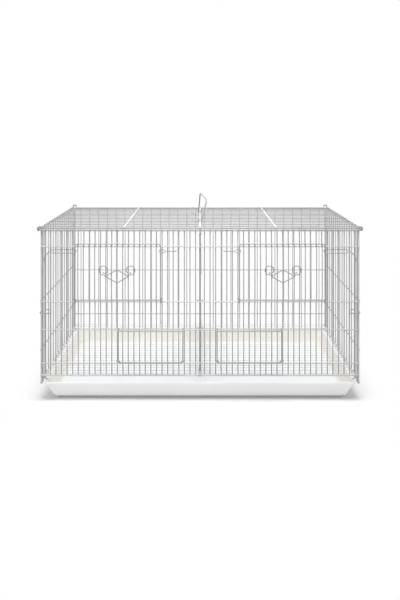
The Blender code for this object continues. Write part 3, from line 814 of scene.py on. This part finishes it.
def makeFeederDoor(side, hand):
    work = newWork()
    clear = gauge["bar"] + gauge["fit"] + gauge["fine"]
    inner = barX(front["feederBars"][0]) + clear
    outer = barX(front["feederBars"][1]) - clear
    footZ = front["feederSillZ"] + feederDoor["drop"]
    railZ = front["feederHeadZ"] - feederDoor["railDrop"]
    corner, bend, tip = feederDoor["corner"], feederDoor["bend"], feederDoor["railTip"]
    points = hingeHook(inner, front["feederHeadZ"], -1)[::-1]
    points += arc((inner + corner, doorFrameY, footZ + corner), corner, 180, 270, right, up)
    points += arc((outer - corner, doorFrameY, footZ + corner), corner, 270, 360, right, up)
    points += hingeHook(outer, front["feederHeadZ"], -1)
    addWire(work, mirrored(points, hand), gauge["fine"], bend=bend, coat="paintedShadeCoat")
    rail = [(inner - tip, doorFrameY, railZ), (outer + tip, doorFrameY, railZ)]
    addWire(work, mirrored(rail, hand), gauge["row"], coat="plainCoat")
    pullY = doorFrameY - gauge["fine"] - gauge["row"] + gauge["weld"]
    out, lift = feederDoor["pullTip"]
    pull = [(inner - out, pullY - out / 2, footZ + lift), (inner + out, pullY, footZ)]
    pull += [(outer - out, pullY, footZ), (outer + out, pullY - out / 2, footZ + lift)]
    addWire(work, mirrored(pull, hand), gauge["row"], bend=bend, coat="paintedShadeCoat")
    low, high = footZ - gauge["overrun"], railZ + gauge["row"]
    for index in range(front["feederBars"][0] + 1, front["feederBars"][1]):
        x = hand * barX(index)
        addWire(work, [(x, doorBarY, low), (x, doorBarY, high)], gauge["bar"])
        for z in (footZ, railZ):
            addWeld(work, (x, doorBarY - gauge["bar"], z), "y")
    for x in (inner, outer):
        addWeld(work, (hand * x, doorFrameY, railZ), "y")
    for x in (inner + 2 * corner, (inner + outer) / 2, outer - 2 * corner):
        addWeld(work, (hand * x, doorFrameY - gauge["fine"], footZ), "y")
    return addWirePiece(side + "FeederDoor", work, side + "_feeder_door", side + "_feeder_door")


latch = {
    "drop": 10,
    "prong": 14,
    "innerCatch": 3,  # the bar beyond which each prong reaches in
    "outerCatch": 25,
    "loopLength": 11,
    "loopDepth": 4,
    "loopTilt": 3,
    "loopTurn": 320,
    "loopStep": 10,
    "hairpin": 3.7,
    "hairpinStep": 15,
    "lever": (18, 7, 26),  # out, forward, down
    "leverShape": ((0.6, 0.3), (1, 0.65), (1, 1)),  # shares of the way out and down
}
latchEye = 2 * gauge["fine"] + gauge["gap"]


def latchWire(side, hand, outward, path):
    work = newWork()
    x = doorOuterX if outward else doorInnerX
    step = hand if outward else -hand
    z = front["doorHeadZ"] - latch["drop"]
    points = [(hand * x + step * p[0], doorFrameY + p[1], z + p[2]) for p in path]
    addWire(work, points, gauge["fine"], coat="paintedShadeCoat")
    kind = "OuterLatch" if outward else "InnerLatch"
    node = side + ("_outer_latch" if outward else "_inner_latch")
    return addWirePiece(side + kind, work, node, node)


def makeInnerLatch(side, hand):
    reach = doorInnerX - barX(latch["innerCatch"]) - cage["barPitch"] / 2
    halfLength = (latch["loopLength"] + latchEye) / 2
    path = []
    for i in range(latch["loopTurn"] // latch["loopStep"] + 1):
        angle = math.radians(latch["loopStep"] * i - latch["loopTurn"])
        x = halfLength - latchEye + halfLength * math.cos(angle)
        path.append((x, latch["loopDepth"] * math.sin(angle), latch["loopTilt"] * math.sin(angle)))
    return latchWire(side, hand, False, path + [(reach, 0, 0), (reach, latch["prong"], 0)])


def makeOuterLatch(side, hand):
    reach = barX(latch["outerCatch"]) + cage["barPitch"] / 2 - doorOuterX
    hairpin, step = latch["hairpin"], latch["hairpinStep"]
    leverOut, leverForward, leverDrop = latch["lever"]
    path = [(reach, latch["prong"], -hairpin), (reach, -latchEye, -hairpin)]
    for i in range(180 // step + 1):
        angle = math.radians(-90 - step * i)
        sine = math.sin(angle)
        path.append((latchEye * math.cos(angle), latchEye * sine, hairpin * sine))
    path.append((reach, latchEye, hairpin))
    for out, drop in latch["leverShape"]:
        leverZ = hairpin - leverDrop * drop
        path.append((reach + leverOut * out, latchEye - leverForward, leverZ))
    return latchWire(side, hand, True, path)


clip = {
    "z": 213,
    "reach": 19,
    "return": 8,
    "bend": 2,
    "eyeStart": 135,  # a longer eye would meet the front post as the clip turns
    "curl": 4.5,
    "curlFrom": 255,
    "curlTo": 90,
}


def makeCornerClip(side, hand):
    work = newWork()
    fine = gauge["fine"]
    out = gauge["post"] + gauge["gap"] + fine
    x, z, curl = cage["halfWidth"], clip["z"], clip["curl"]
    y = rowY - gauge["row"] - gauge["gap"] - fine
    curlX = x - clip["reach"]
    points = arc((x, -sideEndY, z), out, clip["eyeStart"], 0, right, back)
    points += [Vector((x + out, frontY - out / 2, z)), Vector((x, y, z)), Vector((curlX, y, z))]
    points += arc((curlX, y, z + curl), curl, clip["curlFrom"], clip["curlTo"], right, up)
    points.append(points[-1] + clip["return"] * right)
    addWire(work, mirrored(points, hand), fine, bend=clip["bend"], coat="paintedShadeCoat")
    return addWirePiece(side + "CornerClip", work, side + "_corner_clip", side + "_corner_clip")


for side, hand in (("left", -1), ("right", 1)):
    makeUpperDoor(side, hand)
    makeOrnament(side, hand)
    makeFeederDoor(side, hand)
    makeInnerLatch(side, hand)
    makeOuterLatch(side, hand)
    makeCornerClip(side, hand)
print("doors, latches and clips made")

handle = {
    "height": 54,
    "halfSpan": 93.45,  # between the eyes
    "halfTop": 74,
    "corner": 9,
    "spread": 4.5,
    "lean": 9.5,
    "eyeStart": -255,
}


def makeHandle():
    work = newWork()
    eye = 2 * gauge["rail"] + gauge["gap"]
    loop = arc((0, 0, 0), eye, handle["eyeStart"], 0, right, up)
    near = [Vector((p.x, -handle["halfSpan"], p.z)) for p in loop]
    near.append(Vector((eye + handle["spread"], -handle["halfTop"], handle["height"])))
    far = [Vector((-p.x, -p.y, p.z)) for p in near]
    lean = Matrix.Rotation(math.radians(handle["lean"]), 4, "Y")
    place = Matrix.Translation((0, 0, longWireZ)) @ lean
    points = [place @ p for p in near + far[::-1]]
    addWire(work, points, gauge["rail"], bend=handle["corner"], coat="paintedShadeCoat")
    return addWirePiece("carryHandle", work, "carry_handle", "carry_handle")


makeHandle()
print("handle made")

grate = {"pitch": 17, "radius": 1.0, "supports": 3, "frontGap": 3.5}


def makeGrate():
    work = newWork()
    fine = grate["radius"]
    halfX = cage["halfWidth"] - gauge["post"] - gauge["fit"]
    rowZ = walls["ledgeZ"] + gauge["row"] + gauge["gap"] + fine
    supportZ = rowZ - 2 * fine + gauge["weld"]
    nearY = frontY + gauge["bar"] + fine + grate["frontGap"]
    farY = cage["halfDepth"] - gauge["bar"] - fine - 2 * gauge["gap"]
    supportX = cage["halfWidth"] - rowStep - gauge["row"] - fine - gauge["fit"]
    gaps = grate["supports"] - 1
    supports = [-supportX + 2 * supportX * i / gaps for i in range(gaps + 1)]
    spaces = round((farY - nearY) / grate["pitch"])
    for i in range(spaces + 1):
        y = nearY + (farY - nearY) * i / spaces
        addWire(work, [(-halfX, y, rowZ), (halfX, y, rowZ)], fine, coat="paintedBrightLitCoat")
        for x in supports:
            addWeld(work, (x, y, rowZ - fine), "z")
    for x in supports:
        support = [(x, nearY - fine, supportZ), (x, farY + fine, supportZ)]
        addWire(work, support, fine, coat="paintedBrightLitCoat")
    return addWirePiece("floorGrate", work, "floor_grate", "floor_grate")


makeGrate()
print("grate made")

tray = {
    "halfX": 372.8,
    "nearY": -204.3,
    "farY": 200.7,
    "height": 47,
    "corner": 10,
    "cornerSteps": 10,
    "lipHeight": 5,
    "lipOut": 3,
    "lipTop": 5,  # how wide the rim is on top
    "floorZ": 7,
    "outerFoot": 18.3,  # how far in the walls have come at the bottom, before its edge is rounded
    "innerFoot": 18.5,
    "knee": 8.5,
    "kneeSteps": 6,
    "rimRound": 1.2,
    "rimSteps": 4,
    "rimAngle": 0.9,  # in radians; sharper edges of the rim are rounded
    "rimSlack": 0.1,
    "insideLean": 0.3,  # how much of a normal points in or up before a face counts as inside
    "footHeight": 5,
    "footSink": 1,  # how far a foot reaches up into the tray
    "footRadius": 3.5,
    "footTaper": 0.8,
    "footSides": 24,
    "foot": (344.3, 174.0),
}


def stepIn(bm, face, inset, rise):
    # draws the face on as a new ring, nearer the middle by inset and higher by rise
    made = bmesh.ops.extrude_face_region(bm, geom=[face])["geom"]
    middleY = (tray["nearY"] + tray["farY"]) / 2 * mm
    for v in [v for v in made if isinstance(v, bmesh.types.BMVert)]:
        v.co.x -= math.copysign(inset * mm, v.co.x)
        v.co.y -= math.copysign(inset * mm, v.co.y - middleY)
        v.co.z += rise * mm
    bm.faces.remove(face)
    return next(f for f in made if isinstance(f, bmesh.types.BMFace))


def bevel(bm, geom, offset, segments, affect="EDGES"):
    bmesh.ops.bevel(
        bm,
        geom=geom,
        offset=offset * mm,
        segments=segments,
        profile=0.5,
        affect=affect,
        material=-1,
    )


def paintShadeInside(bm):
    # paints shade inside: darker tints on the floor and the walls inside, below the rim, which
    # keeps the outside's white
    lean = tray["insideLean"]
    paintedShades = list(trayLooks)
    for face in bm.faces:
        centre = face.calc_center_median()
        if centre.z > (tray["height"] - tray["lipHeight"] / 2) * mm:
            continue
        facesIn = face.normal.x * centre.x < -lean * abs(centre.x)
        facesFront = face.normal.y < -lean and centre.y > 0
        if facesIn or facesFront:
            face.material_index = paintedShades.index("paintedWarmShadeSides")
        elif face.normal.z > lean:
            face.material_index = paintedShades.index("paintedCoolShadeFloor")


def addFeet(bm, middleY):
    footX, footY = tray["foot"]
    depth = tray["footHeight"] + tray["footSink"]
    for x in (-footX, footX):
        for y in (middleY - footY, middleY + footY):
            bmesh.ops.create_cone(
                bm,
                cap_ends=True,
                segments=tray["footSides"],
                radius1=tray["footRadius"] * tray["footTaper"] * mm,
                radius2=tray["footRadius"] * mm,
                depth=depth * mm,
                matrix=Matrix.Translation(Vector((x, y, depth / 2)) * mm),
            )


def inFixedOrder(bm):
    # extrude and bevel leave the faces and their first corners in another order on each run
    verts = sorted(bm.verts, key=lambda v: v.co[:])
    numbers = {v: i for i, v in enumerate(verts)}
    rings = []
    for face in bm.faces:
        ring = [numbers[v] for v in face.verts]
        start = ring.index(min(ring))
        rings.append((ring[start:] + ring[:start], face.material_index))
    ordered = bmesh.new()
    copies = [ordered.verts.new(v.co) for v in verts]
    for ring, tint in sorted(rings):
        ordered.faces.new([copies[i] for i in ring]).material_index = tint
    bm.free()
    return ordered


def makeTray():
    bm = bmesh.new()
    middleY = (tray["nearY"] + tray["farY"]) / 2
    halfY = (tray["farY"] - tray["nearY"]) / 2
    lipZ = tray["height"] - tray["lipHeight"]
    size = Matrix.Diagonal((tray["halfX"] * mm, halfY * mm, 1, 1))
    bmesh.ops.create_grid(bm, x_segments=1, y_segments=1, size=1, matrix=size)
    bevel(bm, bm.verts[:], tray["corner"], tray["cornerSteps"], affect="VERTICES")
    bmesh.ops.translate(bm, verts=bm.verts, vec=(0, middleY * mm, lipZ * mm))
    made = bmesh.ops.extrude_face_region(bm, geom=bm.faces[:])["geom"]
    lifted = [v for v in made if isinstance(v, bmesh.types.BMVert)]
    bmesh.ops.translate(bm, verts=lifted, vec=(0, 0, tray["lipHeight"] * mm))
    bmesh.ops.recalc_face_normals(bm, faces=bm.faces)
    byHeight = sorted(bm.faces, key=lambda f: f.calc_center_median().z)
    under, over = byHeight[0], byHeight[-1]
    under = stepIn(bm, under, tray["lipOut"], 0)
    under = stepIn(bm, under, tray["outerFoot"] - tray["lipOut"], tray["footHeight"] - lipZ)
    over = stepIn(bm, over, tray["lipTop"], 0)
    over = stepIn(bm, over, tray["innerFoot"] - tray["lipTop"], tray["floorZ"] - tray["height"])
    bevel(bm, [e for face in (under, over) for e in face.edges], tray["knee"], tray["kneeSteps"])
    rimZ = (lipZ - tray["rimSlack"]) * mm
    high = [e for e in bm.edges if min(v.co.z for v in e.verts) > rimZ]
    rims = [e for e in high if e.calc_face_angle(0) > tray["rimAngle"]]
    bevel(bm, rims, tray["rimRound"], tray["rimSteps"])
    bmesh.ops.recalc_face_normals(bm, faces=bm.faces)
    paintShadeInside(bm)
    addFeet(bm, middleY)
    bm = inFixedOrder(bm)
    return addPiece(
        "slideOutTray", bm, trayMaterials, "tray", "tray", smoothAngle=30
    )


makeTray()
print("tray made")

studio = {  # in metres and watts
    "floorRadius": 6.0,
    "floorSides": 96,
    "floorShade": 0.72,
    "worldLight": 0.27,
    "key": ((-1.4, -1.4, 1.8), 1.0, 12),
    "fill": ((1.5, 1.9, 1.5), 1.6, 10),
    "overhead": ((0.0, -0.65, 2.3), 1.1, 66),
    "aim": (0, 0, 0.2),
    "clearFrom": 0.0,  # how far out from the tray's edge the floor starts to show white
    "clearTo": 0.08,
    "clearLeast": 0.2,  # how much of that white is right under the tray, for a light shadow
}
photoCamera = {"lens": 38.1, "shift": -0.287, "place": (0, -1.721, 0.655)}


def backdropRays(tree):
    rays = tree.nodes.new("ShaderNodeLightPath").outputs
    seen = addMath(tree, "MAXIMUM", rays["Is Camera Ray"], rays["Is Glossy Ray"])
    return addMath(tree, "MAXIMUM", seen, rays["Is Transmission Ray"])


def floorMaterial():
    material = bpy.data.materials.new("paleFloor")
    material.use_nodes = True
    tree = material.node_tree
    tree.nodes.clear()
    plain = tree.nodes.new("ShaderNodeBsdfDiffuse")
    shade = studio["floorShade"]
    plain.inputs["Color"].default_value = (shade, shade, shade, 1)
    white = tree.nodes.new("ShaderNodeEmission")
    place = tree.nodes.new("ShaderNodeSeparateXYZ")
    tree.links.new(tree.nodes.new("ShaderNodeTexCoord").outputs["Object"], place.inputs["Vector"])
    edges = (("X", tray["halfX"]), ("Y", -tray["nearY"]))
    outs = []
    for axis, edge in edges:
        distance = addMath(tree, "ABSOLUTE", place.outputs[axis])
        outs.append(addMath(tree, "SUBTRACT", distance, edge * mm))
    away = addMath(tree, "MAXIMUM", *outs)
    clear = addRange(tree, away, studio["clearFrom"], studio["clearTo"], studio["clearLeast"])
    mix = tree.nodes.new("ShaderNodeMixShader")
    tree.links.new(addMath(tree, "MULTIPLY", clear, backdropRays(tree)), mix.inputs["Fac"])
    tree.links.new(plain.outputs["BSDF"], mix.inputs[1])
    tree.links.new(white.outputs["Emission"], mix.inputs[2])
    output = tree.nodes.new("ShaderNodeOutputMaterial")
    tree.links.new(mix.outputs["Shader"], output.inputs["Surface"])
    return material


def makeStage():
    bm = bmesh.new()
    bmesh.ops.create_circle(
        bm, cap_ends=True, radius=studio["floorRadius"], segments=studio["floorSides"]
    )
    mesh = bpy.data.meshes.new("studioFloor")
    bm.to_mesh(mesh)
    bm.free()
    mesh.materials.append(floorMaterial())
    floor = bpy.data.objects.new("studioFloor", mesh)
    bpy.context.scene.collection.objects.link(floor)


def makeWorld():
    world = bpy.data.worlds.new("studioWorld")
    bpy.context.scene.world = world
    world.use_nodes = True
    tree = world.node_tree
    tree.nodes.clear()
    light = tree.nodes.new("ShaderNodeBackground")
    light.inputs["Strength"].default_value = studio["worldLight"]
    white = tree.nodes.new("ShaderNodeBackground")
    for node in (light, white):
        node.inputs["Color"].default_value = (1, 1, 1, 1)
    mix = tree.nodes.new("ShaderNodeMixShader")
    tree.links.new(backdropRays(tree), mix.inputs["Fac"])
    tree.links.new(light.outputs["Background"], mix.inputs[1])
    tree.links.new(white.outputs["Background"], mix.inputs[2])
    output = tree.nodes.new("ShaderNodeOutputWorld")
    tree.links.new(mix.outputs["Shader"], output.inputs["Surface"])


def makeLamp(name, place, size, power):
    lamp = bpy.data.lights.new(name, "AREA")
    lamp.size = size
    lamp.energy = power
    holder = bpy.data.objects.new(name, lamp)
    holder.location = place
    toward = Vector(studio["aim"]) - Vector(place)
    holder.rotation_euler = toward.to_track_quat("-Z", "Y").to_euler()
    bpy.context.scene.collection.objects.link(holder)


def makeCamera():
    camera = bpy.data.cameras.new("photoCamera")
    camera.lens = photoCamera["lens"]
    camera.shift_y = photoCamera["shift"]
    holder = bpy.data.objects.new("photoCamera", camera)
    holder.location = photoCamera["place"]
    holder.rotation_euler = (math.radians(90), 0, 0)
    bpy.context.scene.collection.objects.link(holder)
    bpy.context.scene.camera = holder


makeStage()
makeWorld()
for name in ("key", "fill", "overhead"):
    makeLamp(name + "Lamp", *studio[name])
makeCamera()
bpy.context.scene.view_settings.view_transform = "Standard"
print("studio made")
